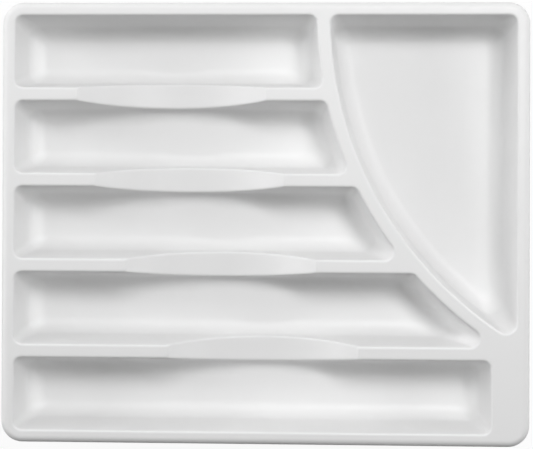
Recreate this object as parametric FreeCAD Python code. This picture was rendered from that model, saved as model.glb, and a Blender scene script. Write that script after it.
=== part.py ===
"""Six-pocket cutlery tray: one thin-walled, drafted moulding that stands on six soft stuck-on feet.

Frame: X runs left to right along the pockets, Y front to back and Z up. The origin is on the surface
that the feet stand on, under the middle of the tray. Lengths are millimetres and angles degrees.
"""

import FreeCAD
import Part
import math
import os

# Overall sizes of the moulding
TRAY_WIDTH = 394.0
TRAY_DEPTH = 330.0
WALL = 1.5
DRAFT_ANGLE = 7.4

# Rim: flat deck, rounded shoulder and a lip that is turned down all round
RIM_WIDTH = 9.75
RIM_CORNER_RADIUS = 16.0
RIM_SHOULDER_RADIUS = 5.0
LIP_HEIGHT = 13.0

# Pockets: rows for cutlery, and one for serving pieces beside a swept divider
ROW_COUNT = 5
DIVIDER_WIDTH = 10.0
POCKET_DEPTH = 45.0
POCKET_CORNER_RADIUS = 8.0
SERVING_WIDTH = 138.5
SWEPT_DIVIDER_WIDTH = 9.75
LAND_BELOW_SERVING = 13.8
FRONT_LAND_WIDTH = 28.6

# Finger dips: one arc-shaped saddle in each straight divider, placed along the divider's length
DIP_LENGTH = 141.0
DIP_DEPTH = 34.0
DIP_SHOULDER_RADIUS = 4.0
DIP_CENTRE_SHARES = (0.506, 0.517, 0.526, 0.504)

# Soft feet, each stuck flat under a pocket's floor
FOOT_DIAMETER = 12.0
FOOT_HEIGHT = 2.0
FOOT_END_DISTANCE = 29.25

# How far a cutting solid runs past the face that it cuts
OVERRUN = 1.0

# Levels and lines that follow from the sizes above
FLOOR_Z = FOOT_HEIGHT + WALL
DECK_Z = FLOOR_Z + POCKET_DEPTH
SLOPE = math.tan(math.radians(DRAFT_ANGLE))
MOUTH_RIGHT = TRAY_WIDTH / 2 - RIM_WIDTH
MOUTH_LEFT = -MOUTH_RIGHT
MOUTH_BACK = TRAY_DEPTH / 2 - RIM_WIDTH
MOUTH_FRONT = -MOUTH_BACK
FRONT_ROW_RIGHT = TRAY_WIDTH / 2 - FRONT_LAND_WIDTH
ROW_WIDTH = (MOUTH_BACK - MOUTH_FRONT - (ROW_COUNT - 1) * DIVIDER_WIDTH) / ROW_COUNT
ROW_PITCH = ROW_WIDTH + DIVIDER_WIDTH

# The swept divider follows a circle that starts square to the rim at the back and ends at the right wall
SERVING_LENGTH = MOUTH_BACK - MOUTH_FRONT - ROW_WIDTH - LAND_BELOW_SERVING
SWEEP_RADIUS = (SERVING_WIDTH**2 + SERVING_LENGTH**2) / (2 * SERVING_WIDTH)
SWEEP_X = MOUTH_RIGHT - SERVING_WIDTH + SWEEP_RADIUS
SWEEP_Y = MOUTH_BACK

# The dip is an arc with this radius and with its centre this far above the deck
DIP_RADIUS = ((DIP_LENGTH / 2) ** 2 + DIP_DEPTH**2) / (2 * DIP_DEPTH)
DIP_CENTRE_RISE = DIP_RADIUS - DIP_DEPTH

BACK = FreeCAD.Vector(0, 1, 0)
UP = FreeCAD.Vector(0, 0, 1)


def arc(centre, start, end):
    """The shorter arc about a centre."""
    bisector = ((start - centre) + (end - centre)).normalize()
    return Part.Arc(start, centre + bisector * (start - centre).Length, end)


def edges_at(shape, z):
    """The edges of a shape that lie flat at one level."""
    return [edge for edge in shape.Edges if all(abs(vertex.Z - z) < WALL / 100 for vertex in edge.Vertexes)]


def edges_off(shape, *levels):
    """The edges of a shape that lie flat at none of the levels."""
    flat = [edge.hashCode() for z in levels for edge in edges_at(shape, z)]
    return [edge for edge in shape.Edges if edge.hashCode() not in flat]


def drafted_block(left, right, front, back, growth, top_z):
    """Block with drafted sides, given by its lines at the deck, from a level down to the floor."""

    def corners(z):
        inset = (DECK_Z - z) * SLOPE - growth / math.cos(math.radians(DRAFT_ANGLE))
        xs = (left + inset, right - inset)
        ys = (front + inset, back - inset)
        return [FreeCAD.Vector(xs[i], ys[j], z) for i, j in ((0, 0), (1, 0), (1, 1), (0, 1))]

    upper = corners(top_z)
    lower = corners(FLOOR_Z - growth)
    faces = [upper, lower[::-1]]
    faces += [[lower[i - 1], lower[i], upper[i], upper[i - 1]] for i in range(len(lower))]
    shell = Part.makeShell([Part.Face(Part.makePolygon(face + face[:1])) for face in faces])
    return Part.makeSolid(shell)


def sweep_cone(radius, taper, growth, top_z):
    """Round body about the sweep's centre, given by its radius at the deck and its taper downwards."""
    bottom_z = FLOOR_Z - growth - OVERRUN
    base = FreeCAD.Vector(SWEEP_X, SWEEP_Y, bottom_z)
    height = top_z + OVERRUN - bottom_z
    shift = growth / math.cos(math.radians(DRAFT_ANGLE)) * math.copysign(1, -taper)
    bottom_radius = radius + shift + (DECK_Z - bottom_z) * taper
    return Part.makeCone(bottom_radius, bottom_radius - height * taper, height, base)


def pocket(number, growth, top_z):
    """One pocket's space, or with the wall as growth the outside of its tub. The serving pocket is last."""
    back = MOUTH_BACK - number * ROW_PITCH
    if number == ROW_COUNT:
        left = MOUTH_RIGHT - SERVING_WIDTH - ROW_PITCH
        block = drafted_block(left, MOUTH_RIGHT, MOUTH_FRONT, MOUTH_BACK, growth, top_z)
        solid = block.common(sweep_cone(SWEEP_RADIUS, -SLOPE, growth, top_z))
    elif number == ROW_COUNT - 1:
        solid = drafted_block(MOUTH_LEFT, FRONT_ROW_RIGHT, back - ROW_WIDTH, back, growth, top_z)
    else:
        block = drafted_block(MOUTH_LEFT, SWEEP_X, back - ROW_WIDTH, back, growth, top_z)
        solid = block.cut(sweep_cone(SWEEP_RADIUS + SWEPT_DIVIDER_WIDTH, SLOPE, growth, top_z))
    return solid.makeFillet(POCKET_CORNER_RADIUS + growth, rounded_edges(solid, top_z, growth))


def rounded_edges(solid, top_z, growth):
    """Edges of a pocket to round: all but its mouth, and outside a tub not those along the sweep."""
    kept = []
    for edge in edges_off(solid, top_z):
        walls = solid.ancestorsOfType(edge, Part.Face)
        if growth == 0 or not any(isinstance(wall.Surface, Part.Cone) for wall in walls):
            kept.append(edge)
    return kept


def rim_block(inset, top_z):
    """Block with round corners, set in from the tray's outer edge, that reaches from the lip to a level."""
    lip_z = DECK_Z - LIP_HEIGHT
    corner = FreeCAD.Vector(inset - TRAY_WIDTH / 2, inset - TRAY_DEPTH / 2, lip_z)
    solid = Part.makeBox(TRAY_WIDTH - 2 * inset, TRAY_DEPTH - 2 * inset, top_z - lip_z, corner)
    return solid.makeFillet(RIM_CORNER_RADIUS - inset, edges_off(solid, top_z, lip_z))


def rim():
    """Deck and lip with a round shoulder between them, hollow below with a bevel under the shoulder."""
    outside = rim_block(0, DECK_Z)
    inside = rim_block(WALL, DECK_Z - WALL)
    outside = outside.makeFillet(RIM_SHOULDER_RADIUS, edges_at(outside, DECK_Z))
    return outside.cut(inside.makeChamfer(RIM_SHOULDER_RADIUS - WALL, edges_at(inside, DECK_Z - WALL)))


def divider_line(divider):
    """Middle of a straight divider: its Y, and its X at the rim and at the swept divider."""
    y = MOUTH_BACK - ROW_WIDTH - DIVIDER_WIDTH / 2 - divider * ROW_PITCH
    far_x = SWEEP_X - math.sqrt((SWEEP_RADIUS + SWEPT_DIVIDER_WIDTH) ** 2 - (SWEEP_Y - y) ** 2)
    return y, MOUTH_LEFT, far_x


def across_divider(profile, divider):
    """A profile in the XZ plane stretched over one divider, from the middle of one row to the next."""
    y, start_x, end_x = divider_line(divider)
    face = Part.Face(Part.Wire([edge.toShape() for edge in profile]))
    solid = face.extrude(BACK * ROW_PITCH)
    x = start_x + (end_x - start_x) * DIP_CENTRE_SHARES[divider]
    solid.translate(FreeCAD.Vector(x, y - ROW_PITCH / 2, DECK_Z))
    return solid


def dip_saddle(divider):
    """Solid under a dip that leaves one wall's thickness below it."""
    radius = DIP_RADIUS + WALL
    top = -WALL / 2
    half = math.sqrt(radius**2 - (DIP_CENTRE_RISE - top) ** 2)
    start = FreeCAD.Vector(-half, 0, top)
    end = FreeCAD.Vector(half, 0, top)
    bottom = FreeCAD.Vector(0, 0, DIP_CENTRE_RISE - radius)
    return across_divider([Part.Arc(start, bottom, end), Part.LineSegment(end, start)], divider)


def dip_cutter(divider):
    """Space of a finger dip: an arc with a rounded shoulder at each end, open above."""
    centre = FreeCAD.Vector(0, 0, DIP_CENTRE_RISE)
    reach = DIP_RADIUS + DIP_SHOULDER_RADIUS
    shoulder_x = math.sqrt(reach**2 - (DIP_CENTRE_RISE + DIP_SHOULDER_RADIUS) ** 2)
    left_shoulder = FreeCAD.Vector(-shoulder_x, 0, -DIP_SHOULDER_RADIUS)
    right_shoulder = FreeCAD.Vector(shoulder_x, 0, -DIP_SHOULDER_RADIUS)
    left_deck = FreeCAD.Vector(-shoulder_x, 0, 0)
    right_deck = FreeCAD.Vector(shoulder_x, 0, 0)
    left_join = centre + (left_shoulder - centre).normalize() * DIP_RADIUS
    right_join = centre + (right_shoulder - centre).normalize() * DIP_RADIUS
    profile = [
        arc(left_shoulder, left_deck, left_join),
        arc(centre, left_join, right_join),
        arc(right_shoulder, right_join, right_deck),
        Part.LineSegment(right_deck, right_deck + UP * OVERRUN),
        Part.LineSegment(right_deck + UP * OVERRUN, left_deck + UP * OVERRUN),
        Part.LineSegment(left_deck + UP * OVERRUN, left_deck),
    ]
    return across_divider(profile, divider)


def foot_places():
    """Node name and centre of each foot: under both ends of the tray, at its back, middle and front."""
    row_y = [MOUTH_BACK - ROW_WIDTH / 2 - row * ROW_PITCH for row in range(ROW_COUNT)]
    left_x = MOUTH_LEFT + FOOT_END_DISTANCE
    right_x = MOUTH_RIGHT - FOOT_END_DISTANCE
    front_right_x = FRONT_ROW_RIGHT - FOOT_END_DISTANCE
    return {
        "foot_rear_left": FreeCAD.Vector(left_x, row_y[0], 0),
        "foot_rear_right": FreeCAD.Vector(right_x, row_y[0], 0),
        "foot_middle_left": FreeCAD.Vector(left_x, row_y[ROW_COUNT // 2], 0),
        "foot_middle_right": FreeCAD.Vector(right_x, row_y[ROW_COUNT // 2], 0),
        "foot_front_left": FreeCAD.Vector(left_x, row_y[-1], 0),
        "foot_front_right": FreeCAD.Vector(front_right_x, row_y[-1], 0),
    }


def tray_moulding():
    """The whole tray in one piece: rim, six tubs and a saddle under each dip, all one wall thick."""
    pockets = range(ROW_COUNT + 1)
    dividers = range(ROW_COUNT - 1)
    tubs = [pocket(number, WALL, DECK_Z - WALL / 2) for number in pockets]
    saddles = [dip_saddle(divider) for divider in dividers]
    blank = rim().fuse(tubs + saddles)
    spaces = [pocket(number, 0, DECK_Z + OVERRUN) for number in pockets]
    dips = [dip_cutter(divider) for divider in dividers]
    return blank.cut(spaces + dips).removeSplitter()


def main():
    os.makedirs("parts", exist_ok=True)
    tray_moulding().exportStep("parts/tray_moulding.step")
    for name, place in foot_places().items():
        Part.makeCylinder(FOOT_DIAMETER / 2, FOOT_HEIGHT, place).exportStep(f"parts/{name}.step")


main()
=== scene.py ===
"""Looks of a six-pocket cutlery tray: the white moulding, its soft feet and a plain studio.

The tray's surface is worked out from its sizes: rows of points run from the deck over each pocket's rounded
mouth, down its drafted wall and round the cove to the floor. A second sheet, one wall below, makes the
underside, and the rim's lip joins the two. X runs along the pockets, Y to the back and Z up, in metres.
"""

import collections
import math

import bmesh
import bpy
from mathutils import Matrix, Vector


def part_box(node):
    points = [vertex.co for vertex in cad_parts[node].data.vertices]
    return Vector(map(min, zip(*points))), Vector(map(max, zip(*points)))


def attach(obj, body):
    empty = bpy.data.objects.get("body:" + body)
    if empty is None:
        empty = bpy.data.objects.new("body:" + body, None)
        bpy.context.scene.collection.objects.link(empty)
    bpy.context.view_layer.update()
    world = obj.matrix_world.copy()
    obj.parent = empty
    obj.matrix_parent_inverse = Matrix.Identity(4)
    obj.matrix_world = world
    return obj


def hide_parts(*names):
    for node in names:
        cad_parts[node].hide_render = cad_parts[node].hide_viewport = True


bl_info = {
    "name": "Cutlery Tray",
    "version": (1, 0, 0),
    "blender": (4, 5, 0),
    "location": "3D View > Sidebar > Cutlery Tray",
    "description": "Builds a moulded cutlery tray with soft feet in a plain studio",
    "category": "Object",
}

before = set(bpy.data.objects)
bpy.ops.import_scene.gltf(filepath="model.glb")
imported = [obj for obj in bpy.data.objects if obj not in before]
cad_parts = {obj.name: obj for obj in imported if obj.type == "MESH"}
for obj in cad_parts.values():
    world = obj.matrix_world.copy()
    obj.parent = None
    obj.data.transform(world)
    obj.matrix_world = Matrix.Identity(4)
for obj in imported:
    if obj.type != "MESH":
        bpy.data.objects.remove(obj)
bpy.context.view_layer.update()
TRAY_LOW, TRAY_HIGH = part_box("tray_moulding")
TRAY_SIZE = TRAY_HIGH - TRAY_LOW
FOOT_NODES = sorted(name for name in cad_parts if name.startswith("foot_"))
FOOT_LOW, FOOT_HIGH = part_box(FOOT_NODES[0])
FOOT_SIZE = FOOT_HIGH - FOOT_LOW

# How finely round stretches are divided
CORNER_STEPS = 10
EDGE_STEPS = 5
COVE_STEPS = 9
WALL_STEPS = 4
SWEEP_STEPS = 48
SHOULDER_STEPS = 6
RIM_CORNER_STEPS = 14
RIM_SHOULDER_STEPS = 8
LIP_EDGE_STEPS = 3
DIVIDER_STEPS = 4
FOOT_STEPS = 48

RIGHT_ANGLE = math.radians(90)

# Share of a wall that its cove may take, where a finger dip leaves the wall low
LOW_WALL_COVE_SHARE = 0.85

# Rows that end in a sharp tip, counted from zero at the back
SHARP_ROWS = (2, 3)


def length(name, description, default):
    """A length in metres that a user may change."""
    return bpy.props.FloatProperty(
        name=name, description=description, default=default, min=0.0, unit="LENGTH"
    )


def colour(name, description, default):
    """A colour that a user may change."""
    return bpy.props.FloatVectorProperty(
        name=name, description=description, default=default, size=3, min=0.0, max=1.0, subtype="COLOR"
    )


def power(name, description, default):
    """A lamp's power in watts that a user may change."""
    return bpy.props.FloatProperty(
        name=name, description=description, default=default, min=0.0, unit="POWER"
    )


class TraySizes(bpy.types.PropertyGroup):
    """Sizes of the moulding."""

    width: length("Width", "Outer width along the pockets", TRAY_SIZE.x)
    depth: length("Depth", "Outer depth from front to back", TRAY_SIZE.y)
    deck_height: length("Deck height", "Level of the deck above the surface below", TRAY_HIGH.z)
    wall: length("Wall", "Thickness of the plastic", 0.0015)
    draft: bpy.props.FloatProperty(
        name="Draft", description="Lean of the pocket walls", default=math.radians(7.4), subtype="ANGLE"
    )
    rim_width: length("Rim width", "Deck between the outer edge and a pocket", 0.00975)
    rim_corner: length("Rim corner", "Outer corner radius in plan", 0.016)
    rim_shoulder: length("Rim shoulder", "Radius between the deck and the lip", 0.005)
    lip_height: length("Lip height", "Height of the turned-down lip", 0.013)
    lip_edge: length("Lip edge", "Radius along the lip's lower edge", 0.0006)
    divider_width: length("Divider width", "Width of a straight divider at the deck", 0.010)
    pocket_depth: length("Pocket depth", "Depth of the pockets below the deck", 0.045)
    mouth_corner: length("Mouth corner", "Corner radius of a pocket at the deck", 0.00625)
    row_tip: length("Row tip", "Corner radius at the deck where a row ends in a sharp tip", 0.0068)
    serving_tip: length("Serving tip", "Corner radius at the deck of the serving pocket's tip", 0.0083)
    wall_corner: length("Wall corner", "Corner radius that the walls reach at the floor", 0.0095)
    floor_corner: length("Floor corner", "Corner radius of the flat floor", 0.005)
    mouth_edge: length("Mouth edge", "Radius between the deck and a pocket's wall", 0.0018)
    under_edge: length("Underside edge", "Radius between the deck's underside and a tub", 0.0008)
    cove: length("Cove", "Radius between a pocket's wall and its floor", 0.0125)
    serving_width: length("Serving width", "Width of the serving pocket at the back", 0.1385)
    swept_divider: length("Swept divider", "Width of the swept divider at the deck", 0.00975)
    land_below_serving: length("Land below serving", "Deck in front of the serving pocket's tip", 0.0138)
    front_land: length("Front land", "Deck at the right of the front pocket", 0.0286)
    dip_length: length("Dip length", "Length of a finger dip along its divider", 0.141)
    dip_depth: length("Dip depth", "Depth of a finger dip below the deck", 0.034)
    dip_shoulder: length("Dip shoulder", "Radius at the ends of a finger dip", 0.004)
    dip_shares: bpy.props.FloatVectorProperty(
        name="Dip places", description="Place of each dip along its divider, from the back", size=4,
        default=(0.506, 0.517, 0.526, 0.504),
    )
    flat_ring: length("Flat ring", "Flat band beside each rounded edge", 0.0008)
    station_gap: length("Station gap", "Distance between points along a finger dip", 0.004)


class FootSizes(bpy.types.PropertyGroup):
    """Sizes of a soft foot."""

    diameter: length("Diameter", "Width of a foot", FOOT_SIZE.x)
    height: length("Height", "Height of a foot", FOOT_SIZE.z)


class Finishes(bpy.types.PropertyGroup):
    """Colours of the tray and its feet."""

    plastic: colour("Plastic", "White of the moulding", (0.83, 0.83, 0.83))
    plastic_shade: colour("Plastic shade", "Slightly duller white in places", (0.80, 0.80, 0.80))
    rubber: colour("Rubber", "Grey of the feet", (0.42, 0.42, 0.42))
    rubber_shade: colour("Rubber shade", "Darker grey in places", (0.34, 0.34, 0.34))


class StudioSettings(bpy.types.PropertyGroup):
    """Light and floor of the studio."""

    floor: colour("Floor", "Colour of the floor", (0.4, 0.4, 0.4))
    floor_white: bpy.props.FloatProperty(
        name="Floor white", description="Level of the white that the floor is lifted with",
        default=1.1, min=0.0,
    )
    floor_white_share: bpy.props.FloatProperty(
        name="Floor white share", description="How much of the seen floor is that white",
        default=0.85, min=0.0, max=1.0, subtype="FACTOR",
    )
    dome: bpy.props.FloatProperty(
        name="Dome", description="Strength of the light from all round", default=0.03, min=0.0
    )
    key_power: power("Key softbox", "Power of the wide softbox high at the back right", 16.9)
    fill_power: power("Fill softbox", "Power of the softbox high at the back left", 4.2)
    left_power: power("Left softbox", "Power of the low softbox at the left", 8.4)
    left_rear_power: power("Left rear softbox", "Power of the low softbox at the back left", 5.9)
    right_power: power("Right softbox", "Power of the low softbox at the right", 5.4)
    right_rear_power: power("Right rear softbox", "Power of the low softbox at the back right", 2.6)


# One level of a wall: how far it lies in from the outline at the deck, its height and its corner radius
Row = collections.namedtuple("Row", "inset z radius")


class StraightSide:
    """A straight wall seen from above. The pocket lies where the inward direction points.

    A side may have stations, the places along it where its divider's level is worked out. The corner after
    a side is rounder than the pocket's other corners by the side's corner_extra.
    """

    def __init__(self, inward, reach, stations=(), divider=None, corner_extra=0.0):
        self.inward = Vector(inward)
        self.reach = reach
        self.stations = stations
        self.divider = divider
        self.corner_extra = corner_extra

    def moved_in(self, distance):
        """The same side nearer to the pocket's middle."""
        reach = self.reach + distance
        return StraightSide(self.inward, reach, self.stations, self.divider, self.corner_extra)

    def nearest(self, point):
        """The side's point that is nearest to another."""
        return point + self.inward * (self.reach - point.dot(self.inward))

    def columns(self):
        """What stands at each point between the side's corners: the side and a station."""
        return [(self, x) for x in self.stations]

    def between(self, start, end):
        """Points between the side's corners."""
        return [self.nearest(Vector((x, 0))) for x in self.stations]


class SweptSide:
    """A wall seen from above that follows a circle. The pocket lies inside the circle or outside it."""

    def __init__(self, centre, radius, holds_pocket, corner_extra=0.0):
        self.centre = centre
        self.radius = radius
        self.holds_pocket = holds_pocket
        self.corner_extra = corner_extra

    def moved_in(self, distance):
        """The same side nearer to the pocket's middle."""
        radius = self.radius - distance if self.holds_pocket else self.radius + distance
        return SweptSide(self.centre, radius, self.holds_pocket, self.corner_extra)

    def nearest(self, point):
        """The side's point that is nearest to another."""
        return self.centre + (point - self.centre).normalized() * self.radius

    def columns(self):
        """What stands at each point between the side's corners: no station."""
        return [None] * (SWEEP_STEPS - 1)

    def between(self, start, end):
        """Points between the side's corners."""
        return arc_points(self.centre, start, end, SWEEP_STEPS)[1:-1]


def arc_points(centre, start, end, steps):
    """Points along the shorter arc about a centre, with both ends."""
    first = start - centre
    last = end - centre
    turn = math.atan2(first.x * last.y - first.y * last.x, first.dot(last))
    points = []
    for step in range(steps + 1):
        angle = turn * step / steps
        cosine, sine = math.cos(angle), math.sin(angle)
        points.append(centre + Vector((first.x * cosine - first.y * sine, first.x * sine + first.y * cosine)))
    return points


def meeting_point(first, second):
    """Where two neighbouring sides cross. A swept side is crossed to the left or in front of its centre."""
    if isinstance(first, SweptSide):
        first, second = second, first
    along = Vector((first.inward.y, -first.inward.x))
    if isinstance(second, StraightSide):
        start = first.inward * first.reach
        return start + along * ((second.reach - start.dot(second.inward)) / along.dot(second.inward))
    foot = first.nearest(second.centre)
    half_chord = math.sqrt(second.radius**2 - (foot - second.centre).length_squared)
    return min((foot - along * half_chord, foot + along * half_chord), key=lambda point: point.x + point.y)


def outline(sides, inset, radius, corner_steps):
    """Points round a closed outline: those along each side, then the round corner after it."""
    moved = [side.moved_in(inset) for side in sides]
    following = moved[1:] + moved[:1]
    centres = []
    for side, after in zip(moved, following):
        reach = radius + side.corner_extra
        centres.append(meeting_point(side.moved_in(reach), after.moved_in(reach)))
    points = []
    for k, (side, after) in enumerate(zip(moved, following)):
        start = side.nearest(centres[k - 1])
        end = side.nearest(centres[k])
        points += side.between(start, end)
        points += arc_points(centres[k], end, after.nearest(centres[k]), corner_steps)
    return points


def quarter_turn(steps):
    """Angles that divide a quarter turn, with both ends."""
    return [RIGHT_ANGLE * k / steps for k in range(steps + 1)]


class TrayPlan:
    """Lines and levels of the moulding that follow from its sizes.

    The upper sheet has no growth. The underside is the same form, grown by the wall's thickness.
    """

    def __init__(self, sizes):
        self.sizes = sizes
        self.slope = math.tan(sizes.draft)
        self.floor_z = sizes.deck_height - sizes.pocket_depth
        self.right = sizes.width / 2 - sizes.rim_width
        self.back = sizes.depth / 2 - sizes.rim_width
        self.row_count = len(sizes.dip_shares) + 1
        walls = (self.row_count - 1) * sizes.divider_width
        self.row_width = (2 * self.back - walls) / self.row_count
        self.row_pitch = self.row_width + sizes.divider_width
        serving_length = 2 * self.back - self.row_width - sizes.land_below_serving
        self.sweep_radius = (sizes.serving_width**2 + serving_length**2) / (2 * sizes.serving_width)
        self.sweep_centre = Vector((self.right - sizes.serving_width + self.sweep_radius, self.back))
        self.dip_radius = ((sizes.dip_length / 2) ** 2 + sizes.dip_depth**2) / (2 * sizes.dip_depth)
        self.dip_rise = self.dip_radius - sizes.dip_depth
        reach = self.dip_radius + sizes.dip_shoulder
        self.shoulder_x = math.sqrt(reach**2 - (self.dip_rise + sizes.dip_shoulder) ** 2)
        self.dip_places = [self.dip_place(divider) for divider in range(self.row_count - 1)]

    def dip_place(self, divider):
        """Where a dip's middle lies along its divider."""
        y = self.back - self.row_width - self.sizes.divider_width / 2 - divider * self.row_pitch
        reach = self.sweep_radius + self.sizes.swept_divider
        far_x = self.sweep_centre.x - math.sqrt(reach**2 - (self.sweep_centre.y - y) ** 2)
        return -self.right + (far_x + self.right) * self.sizes.dip_shares[divider]

    def top(self, divider, x, grow):
        """Level of a divider's top at a place along it."""
        sizes = self.sizes
        off_middle = abs(x - self.dip_places[divider])
        radius = self.dip_radius + grow
        shoulder = sizes.dip_shoulder - grow
        if off_middle >= self.shoulder_x:
            return sizes.deck_height - grow
        if off_middle >= self.shoulder_x * radius / (radius + shoulder):
            rise = math.sqrt(shoulder**2 - (self.shoulder_x - off_middle) ** 2)
            return sizes.deck_height - sizes.dip_shoulder + rise
        return sizes.deck_height + self.dip_rise - math.sqrt(radius**2 - off_middle**2)

    def stations(self, divider):
        """Places along a divider's dip, closest together at the dip's ends."""
        join = self.shoulder_x * self.dip_radius / (self.dip_radius + self.sizes.dip_shoulder)
        inward = join - self.shoulder_x
        shoulder = [self.shoulder_x + inward * k / SHOULDER_STEPS for k in range(SHOULDER_STEPS)]
        count = math.ceil(2 * join / self.sizes.station_gap)
        arc = [join * (1 - 2 * k / count) for k in range(count + 1)]
        offsets = [-x for x in shoulder] + [-x for x in arc] + shoulder[::-1]
        return [self.dip_places[divider] + x for x in offsets]

    def serving_sides(self):
        """Walls of the serving pocket in order, anticlockwise from above."""
        tip_extra = self.sizes.serving_tip - self.sizes.mouth_corner
        return [
            SweptSide(self.sweep_centre, self.sweep_radius, True, tip_extra),
            StraightSide((-1, 0), -self.right),
            StraightSide((0, -1), -self.back),
        ]

    def row_sides(self, row):
        """Walls of a row in order, anticlockwise from above. Rows count from zero at the back."""
        sizes = self.sizes
        back = self.back - row * self.row_pitch
        back_stations = self.stations(row - 1)[::-1] if row > 0 else ()
        tip_extra = sizes.row_tip - sizes.mouth_corner if row in SHARP_ROWS else 0.0
        if row < self.row_count - 1:
            front_stations = self.stations(row)
            end = SweptSide(self.sweep_centre, self.sweep_radius + sizes.swept_divider, False)
        else:
            front_stations = ()
            end = StraightSide((-1, 0), sizes.front_land - sizes.width / 2)
        return [
            StraightSide((0, 1), back - self.row_width, front_stations, row, tip_extra),
            end,
            StraightSide((0, -1), -back, back_stations, row - 1),
            StraightSide((1, 0), -self.right),
        ]

    def wall_inset(self, z, grow):
        """How far a drafted wall lies in from the outline at the deck."""
        return (self.sizes.deck_height - z) * self.slope - grow / math.cos(self.sizes.draft)

    def wall_radius(self, z, grow):
        """Corner radius of a drafted wall at a level."""
        sizes = self.sizes
        share = (sizes.deck_height - z) / sizes.pocket_depth
        return sizes.mouth_corner + (sizes.wall_corner - sizes.mouth_corner) * share + grow

    def wall_rows(self, top, grow, edge):
        """Rows down a pocket's wall, from the flat ring on its top to the ring on its floor."""
        sizes = self.sizes
        turn = RIGHT_ANGLE - sizes.draft
        floor_z = self.floor_z - grow

        # Flat ring and round edge at the top
        top_inset = self.wall_inset(top, grow)
        top_radius = self.wall_radius(top, grow)
        edge_reach = edge * math.tan(turn / 2)
        outward = edge_reach + sizes.flat_ring
        rows = [Row(top_inset - outward, top, top_radius + outward)]
        for k in range(EDGE_STEPS + 1):
            angle = turn * k / EDGE_STEPS
            outward = edge_reach - edge * math.sin(angle)
            rows.append(Row(top_inset - outward, top - edge * (1 - math.cos(angle)), top_radius + outward))

        # Drafted wall, down to where the cove starts
        cove = min(sizes.cove, LOW_WALL_COVE_SHARE * (top + grow - self.floor_z)) + grow
        cove_reach = cove * math.tan(turn / 2)
        lower_z = floor_z + cove_reach * math.cos(sizes.draft)
        upper = rows[-1]
        lower = Row(self.wall_inset(lower_z, grow), lower_z, self.wall_radius(lower_z, grow))
        for k in range(1, WALL_STEPS):
            rows.append(Row(*(a + (b - a) * k / WALL_STEPS for a, b in zip(upper, lower))))

        # Cove and flat ring on the floor
        floor_inset = self.wall_inset(floor_z, grow) + cove_reach
        for k in range(COVE_STEPS + 1):
            angle = turn * (1 - k / COVE_STEPS)
            inset = floor_inset - cove * math.sin(angle)
            share = (inset - lower.inset) / (floor_inset - lower.inset)
            radius = lower.radius + (sizes.floor_corner - lower.radius) * share
            rows.append(Row(inset, floor_z + cove * (1 - math.cos(angle)), radius))
        rows.append(Row(floor_inset + sizes.flat_ring, floor_z, sizes.floor_corner - sizes.flat_ring))
        return rows

    def rim_rows(self):
        """Rows over the rim: from the deck round the shoulder, down the lip and back up inside it."""
        sizes = self.sizes
        deck, lip_z = sizes.deck_height, sizes.deck_height - sizes.lip_height
        shoulder, edge = sizes.rim_shoulder, sizes.lip_edge
        inner = shoulder - sizes.wall
        places = [(shoulder + sizes.flat_ring, deck)]
        for angle in quarter_turn(RIM_SHOULDER_STEPS):
            places.append((shoulder * (1 - math.sin(angle)), deck - shoulder * (1 - math.cos(angle))))
        for angle in quarter_turn(LIP_EDGE_STEPS):
            places.append((edge * (1 - math.cos(angle)), lip_z + edge * (1 - math.sin(angle))))
        for angle in quarter_turn(LIP_EDGE_STEPS):
            places.append((sizes.wall - edge * (1 - math.sin(angle)), lip_z + edge * (1 - math.cos(angle))))
        for angle in quarter_turn(RIM_SHOULDER_STEPS):
            places.append((shoulder - inner * math.cos(angle), deck - shoulder + inner * math.sin(angle)))
        places.append((shoulder + sizes.flat_ring, deck - sizes.wall))
        return [Row(inset, z, sizes.rim_corner - inset) for inset, z in places]


def raised(point, z):
    """A point of the plan at a level."""
    return Vector((point.x, point.y, z))


def bridge(mesh, rows):
    """Faces between rows of points that each go once round."""
    for upper, lower in zip(rows, rows[1:]):
        for k in range(len(upper)):
            mesh.faces.new((upper[k - 1], upper[k], lower[k], lower[k - 1]))


def add_pocket(mesh, plan, sides, grow, edge):
    """One pocket's surface. Returns its points beside the dips, by divider and station."""
    columns = []
    for side in sides:
        columns += side.columns()
        columns += [None] * (CORNER_STEPS + 1)
    points = []
    for row in plan.wall_rows(plan.sizes.deck_height - grow, grow, edge):
        loop = outline(sides, row.inset, row.radius, CORNER_STEPS)
        points.append([raised(point, row.z) for point in loop])
    for k, column in enumerate(columns):
        if column:
            side, x = column
            for j, row in enumerate(plan.wall_rows(plan.top(side.divider, x, grow), grow, edge)):
                points[j][k] = raised(side.moved_in(row.inset).nearest(Vector((x, 0))), row.z)
    rows = [[mesh.verts.new(point) for point in loop] for loop in points]
    bridge(mesh, rows)
    mesh.faces.new(rows[-1])
    return {(column[0].divider, column[1]): vertex for column, vertex in zip(columns, rows[0]) if column}


def add_divider_tops(mesh, plan, rings):
    """Saddles of the finger dips, between the points of neighbouring rows."""
    for divider in range(plan.row_count - 1):
        previous = None
        for x in plan.stations(divider):
            start, end = rings[divider][divider, x], rings[divider + 1][divider, x]
            chain = [start]
            for k in range(1, DIVIDER_STEPS):
                chain.append(mesh.verts.new(start.co.lerp(end.co, k / DIVIDER_STEPS)))
            chain.append(end)
            if previous:
                for k in range(DIVIDER_STEPS):
                    mesh.faces.new((previous[k], previous[k + 1], chain[k + 1], chain[k]))
            previous = chain


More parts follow.
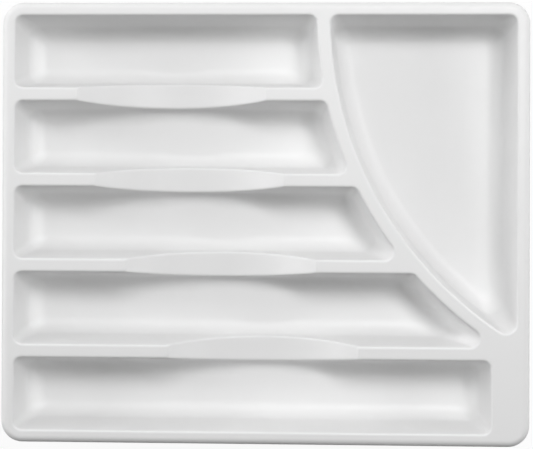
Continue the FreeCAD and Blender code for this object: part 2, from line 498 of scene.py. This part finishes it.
def add_rim(mesh, plan):
    """The shoulder and the lip. Returns the rows at the deck and at its underside."""
    sizes = plan.sizes
    sides = [
        StraightSide((0, 1), -sizes.depth / 2),
        StraightSide((-1, 0), -sizes.width / 2),
        StraightSide((0, -1), -sizes.depth / 2),
        StraightSide((1, 0), -sizes.width / 2),
    ]
    rows = []
    for row in plan.rim_rows():
        loop = outline(sides, row.inset, row.radius, RIM_CORNER_STEPS)
        rows.append([mesh.verts.new(raised(point, row.z)) for point in loop])
    bridge(mesh, rows)
    return rows[0], rows[-1]


def open_edges(mesh, vertices):
    """Edges among some vertices that have a face on one side only."""
    edges = [edge for edge in mesh.edges if edge.is_boundary]
    return [edge for edge in edges if all(vertex in vertices for vertex in edge.verts)]


def smooth_data(mesh, name):
    """Mesh data with smooth faces that point outwards."""
    bmesh.ops.recalc_face_normals(mesh, faces=mesh.faces)
    for face in mesh.faces:
        face.smooth = True
    data = bpy.data.meshes.new(name)
    mesh.to_mesh(data)
    mesh.free()
    return data


def tray_mesh(sizes):
    """The moulding's whole closed surface."""
    plan = TrayPlan(sizes)
    pockets = [plan.row_sides(row) for row in range(plan.row_count)] + [plan.serving_sides()]
    mesh = bmesh.new()
    deck_border, under_border = add_rim(mesh, plan)
    sheets = ((0.0, sizes.mouth_edge, deck_border), (sizes.wall, sizes.under_edge, under_border))
    for grow, edge, border in sheets:
        made = set(mesh.verts)
        rings = [add_pocket(mesh, plan, sides, grow, edge) for sides in pockets]
        add_divider_tops(mesh, plan, rings)
        sheet = (set(mesh.verts) - made) | set(border)
        bmesh.ops.triangle_fill(mesh, edges=open_edges(mesh, sheet), use_beauty=True, normal=(0, 0, 1))
    if not all(edge.is_manifold for edge in mesh.edges):
        raise RuntimeError("the tray's surface isn't closed")
    return smooth_data(mesh, "tray_surface")


def add_piece(name, data, material, nodes):
    """A finished piece of the object that stands for its nodes."""
    piece = bpy.data.objects.new(name, data)
    bpy.context.scene.collection.objects.link(piece)
    data.materials.clear()
    data.materials.append(material)
    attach(piece, "root")
    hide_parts(*nodes)


# Patterns of the finishes: patches per metre and levels of detail
Pattern = collections.namedtuple("Pattern", "scale detail")
PLASTIC_CLOUDS = Pattern(22.0, 3.0)
PLASTIC_GLOSS = Pattern(160.0, 4.0)
PLASTIC_GRAIN = Pattern(1800.0, 2.0)
RUBBER_DUST = Pattern(300.0, 4.0)
RUBBER_GRAIN = Pattern(2600.0, 3.0)

PLASTIC_ROUGHNESS = (0.40, 0.52)
PLASTIC_GRAIN_STRENGTH = 0.12
PLASTIC_IOR = 1.49
RUBBER_ROUGHNESS = (0.7, 0.9)
RUBBER_GRAIN_STRENGTH = 0.3
GRAIN_HEIGHT = 0.0001

# Range of a noise pattern's values that most of it lies in
NOISE_MIDDLE = (0.3, 0.7)


class Finish:
    """A node material whose patterns lie in the object's own space."""

    def __init__(self, name):
        self.material = bpy.data.materials.new(name)
        self.material.use_nodes = True
        self.nodes = self.material.node_tree.nodes
        self.links = self.material.node_tree.links
        self.shader = self.nodes["Principled BSDF"]
        self.coordinates = self.nodes.new("ShaderNodeTexCoord")

    def noise(self, pattern):
        """A noise texture's values."""
        texture = self.nodes.new("ShaderNodeTexNoise")
        texture.inputs["Scale"].default_value = pattern.scale
        texture.inputs["Detail"].default_value = pattern.detail
        self.links.new(self.coordinates.outputs["Object"], texture.inputs["Vector"])
        return texture.outputs["Fac"]

    def set_colour(self, values, first, second):
        """Base colour that goes from one to another with a pattern's values."""
        mix = self.nodes.new("ShaderNodeMix")
        mix.data_type = "RGBA"
        mix.inputs["A"].default_value = (*first, 1)
        mix.inputs["B"].default_value = (*second, 1)
        self.links.new(values, mix.inputs["Factor"])
        self.links.new(mix.outputs["Result"], self.shader.inputs["Base Color"])

    def set_roughness(self, values, low_high):
        """Roughness that a pattern's values spread over a range."""
        spread = self.nodes.new("ShaderNodeMapRange")
        spread.inputs["From Min"].default_value, spread.inputs["From Max"].default_value = NOISE_MIDDLE
        spread.inputs["To Min"].default_value, spread.inputs["To Max"].default_value = low_high
        self.links.new(values, spread.inputs["Value"])
        self.links.new(spread.outputs["Result"], self.shader.inputs["Roughness"])

    def set_grain(self, values, strength):
        """Fine relief that follows a pattern's values."""
        bump = self.nodes.new("ShaderNodeBump")
        bump.inputs["Strength"].default_value = strength
        bump.inputs["Distance"].default_value = GRAIN_HEIGHT
        self.links.new(values, bump.inputs["Height"])
        self.links.new(bump.outputs["Normal"], self.shader.inputs["Normal"])


def moulded_plastic(finishes):
    """White plastic with a fine moulded grain, a little duller in places."""
    finish = Finish("white_plastic")
    finish.set_colour(finish.noise(PLASTIC_CLOUDS), finishes.plastic, finishes.plastic_shade)
    finish.set_roughness(finish.noise(PLASTIC_GLOSS), PLASTIC_ROUGHNESS)
    finish.set_grain(finish.noise(PLASTIC_GRAIN), PLASTIC_GRAIN_STRENGTH)
    finish.shader.inputs["IOR"].default_value = PLASTIC_IOR
    return finish.material


def soft_rubber(finishes):
    """Grey rubber with a dull, dusty face."""
    finish = Finish("foot_rubber")
    dust = finish.noise(RUBBER_DUST)
    finish.set_colour(dust, finishes.rubber, finishes.rubber_shade)
    finish.set_roughness(dust, RUBBER_ROUGHNESS)
    finish.set_grain(finish.noise(RUBBER_GRAIN), RUBBER_GRAIN_STRENGTH)
    return finish.material


# Half section of a foot from its glued top to its underside: shares of its diameter and of its height
FOOT_SECTION_SHARES = (
    (0.0, 1.0), (0.42, 1.0), (0.44, 0.94), (0.44, 0.86), (0.47, 0.84), (0.49, 0.80), (0.498, 0.72),
    (0.5, 0.60), (0.497, 0.36), (0.486, 0.17), (0.465, 0.05), (0.435, 0.0), (0.30, 0.0), (0.0, 0.0),
)


def unit_foot():
    """One foot, a unit wide and a unit high, turned from its half section."""
    mesh = bmesh.new()
    turns = [2 * math.pi * k / FOOT_STEPS for k in range(FOOT_STEPS)]
    rings = []
    for radius, z in FOOT_SECTION_SHARES:
        if radius == 0:
            rings.append([mesh.verts.new((0, 0, z))] * FOOT_STEPS)
        else:
            rings.append([mesh.verts.new((radius * math.cos(a), radius * math.sin(a), z)) for a in turns])
    for upper, lower in zip(rings, rings[1:]):
        for k in range(FOOT_STEPS):
            corners = dict.fromkeys((upper[k - 1], upper[k], lower[k], lower[k - 1]))
            mesh.faces.new(tuple(corners))
    return smooth_data(mesh, "unit_foot")


def feet_tree(foot, material):
    """Nodes that set one foot at each point, at its real size."""
    tree = bpy.data.node_groups.new("soft_feet", "GeometryNodeTree")
    sockets = tree.interface
    sockets.new_socket("Places", in_out="INPUT", socket_type="NodeSocketGeometry")
    diameter = sockets.new_socket("Diameter", in_out="INPUT", socket_type="NodeSocketFloat")
    height = sockets.new_socket("Height", in_out="INPUT", socket_type="NodeSocketFloat")
    sockets.new_socket("Feet", in_out="OUTPUT", socket_type="NodeSocketGeometry")
    nodes, links = tree.nodes, tree.links
    start, end = nodes.new("NodeGroupInput"), nodes.new("NodeGroupOutput")
    shape = nodes.new("GeometryNodeObjectInfo")
    shape.inputs["Object"].default_value = foot
    size = nodes.new("ShaderNodeCombineXYZ")
    for axis, name in (("X", "Diameter"), ("Y", "Diameter"), ("Z", "Height")):
        links.new(start.outputs[name], size.inputs[axis])
    placed = nodes.new("GeometryNodeInstanceOnPoints")
    links.new(start.outputs["Places"], placed.inputs["Points"])
    links.new(shape.outputs["Geometry"], placed.inputs["Instance"])
    links.new(size.outputs["Vector"], placed.inputs["Scale"])
    real = nodes.new("GeometryNodeRealizeInstances")
    links.new(placed.outputs["Instances"], real.inputs["Geometry"])
    painted = nodes.new("GeometryNodeSetMaterial")
    painted.inputs["Material"].default_value = material
    links.new(real.outputs["Geometry"], painted.inputs["Geometry"])
    links.new(painted.outputs["Geometry"], end.inputs["Feet"])
    return tree, diameter.identifier, height.identifier


def feet_mesh(sizes, material):
    """All the feet, each at the place of its node."""
    foot = bpy.data.objects.new("unit_foot", unit_foot())
    places = bpy.data.meshes.new("foot_places")
    corners = [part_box(name) for name in FOOT_NODES]
    places.from_pydata([((low.x + high.x) / 2, (low.y + high.y) / 2, low.z) for low, high in corners], [], [])
    holder = bpy.data.objects.new("foot_places", places)
    bpy.context.scene.collection.objects.link(holder)
    tree, diameter, height = feet_tree(foot, material)
    modifier = holder.modifiers.new("soft_feet", "NODES")
    modifier.node_group = tree
    modifier[diameter] = sizes.diameter
    modifier[height] = sizes.height
    graph = bpy.context.evaluated_depsgraph_get()
    data = bpy.data.meshes.new_from_object(holder.evaluated_get(graph))
    data.name = "soft_feet"
    holder.modifiers.remove(modifier)
    for used in (holder, foot):
        bpy.data.objects.remove(used)
    return data


# Camera that looks almost straight down: metres, radians, and millimetres for the lens and sensor
CAMERA_PLACE = (0.01779, 0.02270, 1.2025)
CAMERA_TURN = (0.0081, 0.0439, 0.0043)
CAMERA_LENS = 104.67
CAMERA_SENSOR = 36.0
CAMERA_SHIFT_SHARES = (0.0872, -0.0829)

FLOOR_HALF_WIDTH = 4.0

# Softboxes that point at the tray, in metres
Softbox = collections.namedtuple("Softbox", "place width height")
SOFTBOXES = {
    "key": Softbox((0.44, 0.58, 1.54), 0.96, 0.38),
    "fill": Softbox((-1.04, 0.72, 1.28), 0.64, 0.64),
    "left": Softbox((-1.52, 0.0, 0.49), 0.8, 0.8),
    "left_rear": Softbox((-1.075, 1.075, 0.49), 0.8, 0.8),
    "right": Softbox((1.52, 0.0, 0.49), 0.8, 0.8),
    "right_rear": Softbox((1.075, 1.075, 0.49), 0.8, 0.8),
}


def seen_directly(nodes, links):
    """One where the camera sees a surface directly, or in a gloss or through glass."""
    path = nodes.new("ShaderNodeLightPath")
    total = path.outputs["Is Camera Ray"]
    for name in ("Is Glossy Ray", "Is Transmission Ray"):
        larger = nodes.new("ShaderNodeMath")
        larger.operation = "MAXIMUM"
        links.new(total, larger.inputs[0])
        links.new(path.outputs[name], larger.inputs[1])
        total = larger.outputs["Value"]
    return total


def floor_paint(settings):
    """Pale paint that takes the tray's shadow and is lifted to white where it is seen."""
    material = bpy.data.materials.new("floor")
    material.use_nodes = True
    nodes, links = material.node_tree.nodes, material.node_tree.links
    nodes.clear()
    paint = nodes.new("ShaderNodeBsdfDiffuse")
    paint.inputs["Color"].default_value = (*settings.floor, 1)
    white = nodes.new("ShaderNodeEmission")
    white.inputs["Strength"].default_value = settings.floor_white
    share = nodes.new("ShaderNodeMath")
    share.operation = "MULTIPLY"
    share.inputs[1].default_value = settings.floor_white_share
    links.new(seen_directly(nodes, links), share.inputs[0])
    both = nodes.new("ShaderNodeMixShader")
    links.new(share.outputs["Value"], both.inputs["Fac"])
    links.new(paint.outputs["BSDF"], both.inputs[1])
    links.new(white.outputs["Emission"], both.inputs[2])
    out = nodes.new("ShaderNodeOutputMaterial")
    links.new(both.outputs["Shader"], out.inputs["Surface"])
    return material


def add_floor(settings):
    """The wide flat floor."""
    data = bpy.data.meshes.new("floor")
    far = FLOOR_HALF_WIDTH
    data.from_pydata([(-far, -far, 0), (far, -far, 0), (far, far, 0), (-far, far, 0)], [], [(0, 1, 2, 3)])
    data.materials.append(floor_paint(settings))
    floor = bpy.data.objects.new("floor", data)
    bpy.context.scene.collection.objects.link(floor)


def add_world(settings):
    """Even light from all round, white where it is seen."""
    world = bpy.data.worlds.new("studio")
    world.use_nodes = True
    nodes, links = world.node_tree.nodes, world.node_tree.links
    sky = nodes["Background"]
    level = nodes.new("ShaderNodeMapRange")
    level.inputs["To Min"].default_value = settings.dome
    level.inputs["To Max"].default_value = 1.0
    links.new(seen_directly(nodes, links), level.inputs["Value"])
    sky.inputs["Color"].default_value = (1, 1, 1, 1)
    links.new(level.outputs["Result"], sky.inputs["Strength"])
    bpy.context.scene.world = world


def add_softbox(name, watts):
    """A lamp at one of the softboxes' places."""
    softbox = SOFTBOXES[name]
    light = bpy.data.lights.new(f"{name}_softbox", "AREA")
    light.shape = "RECTANGLE"
    light.size, light.size_y = softbox.width, softbox.height
    light.energy = watts
    lamp = bpy.data.objects.new(light.name, light)
    lamp.location = softbox.place
    lamp.rotation_euler = (-Vector(softbox.place)).to_track_quat("-Z", "Y").to_euler()
    bpy.context.scene.collection.objects.link(lamp)


def add_camera():
    """The photograph's viewpoint."""
    data = bpy.data.cameras.new("camera")
    data.sensor_width = CAMERA_SENSOR
    data.lens = CAMERA_LENS
    data.shift_x, data.shift_y = CAMERA_SHIFT_SHARES
    camera = bpy.data.objects.new("camera", data)
    camera.location = CAMERA_PLACE
    camera.rotation_euler = CAMERA_TURN
    bpy.context.scene.collection.objects.link(camera)
    bpy.context.scene.camera = camera


class CUTLERY_OT_moulding(bpy.types.Operator):
    """Make the tray's moulding"""

    bl_idname = "cutlery.moulding"
    bl_label = "Tray moulding"

    def execute(self, context):
        material = moulded_plastic(context.scene.tray_finishes)
        data = tray_mesh(context.scene.tray_sizes)
        add_piece("tray", data, material, ["tray_moulding"])
        return {"FINISHED"}


class CUTLERY_OT_feet(bpy.types.Operator):
    """Make the soft feet"""

    bl_idname = "cutlery.feet"
    bl_label = "Soft feet"

    def execute(self, context):
        material = soft_rubber(context.scene.tray_finishes)
        data = feet_mesh(context.scene.foot_sizes, material)
        add_piece("feet", data, material, FOOT_NODES)
        return {"FINISHED"}


class CUTLERY_OT_studio(bpy.types.Operator):
    """Make the floor, the light and the camera"""

    bl_idname = "cutlery.studio"
    bl_label = "Studio"

    def execute(self, context):
        settings = context.scene.studio_settings
        context.scene.view_settings.view_transform = "Standard"
        add_floor(settings)
        add_world(settings)
        for name in SOFTBOXES:
            add_softbox(name, getattr(settings, f"{name}_power"))
        add_camera()
        return {"FINISHED"}


class CUTLERY_PT_tray(bpy.types.Panel):
    """Sizes, finishes and steps of the tray"""

    bl_idname = "CUTLERY_PT_tray"
    bl_label = "Cutlery Tray"
    bl_space_type = "VIEW_3D"
    bl_region_type = "UI"
    bl_category = "Cutlery Tray"

    def draw(self, context):
        for name, kind in PROPERTY_GROUPS.items():
            box = self.layout.box()
            for key in kind.__annotations__:
                box.prop(getattr(context.scene, name), key)
        for operator in OPERATORS:
            self.layout.operator(operator.bl_idname)


PROPERTY_GROUPS = {
    "tray_sizes": TraySizes,
    "foot_sizes": FootSizes,
    "tray_finishes": Finishes,
    "studio_settings": StudioSettings,
}
OPERATORS = (CUTLERY_OT_moulding, CUTLERY_OT_feet, CUTLERY_OT_studio)
CLASSES = (*PROPERTY_GROUPS.values(), *OPERATORS, CUTLERY_PT_tray)


def register():
    for made in CLASSES:
        bpy.utils.register_class(made)
    for name, group in PROPERTY_GROUPS.items():
        setattr(bpy.types.Scene, name, bpy.props.PointerProperty(type=group))


def unregister():
    for name in PROPERTY_GROUPS:
        delattr(bpy.types.Scene, name)
    for made in reversed(CLASSES):
        bpy.utils.unregister_class(made)


def main():
    """Makes every piece and the studio."""
    register()
    bpy.ops.cutlery.moulding()
    bpy.ops.cutlery.feet()
    bpy.ops.cutlery.studio()


if __name__ == "__main__":
    main()
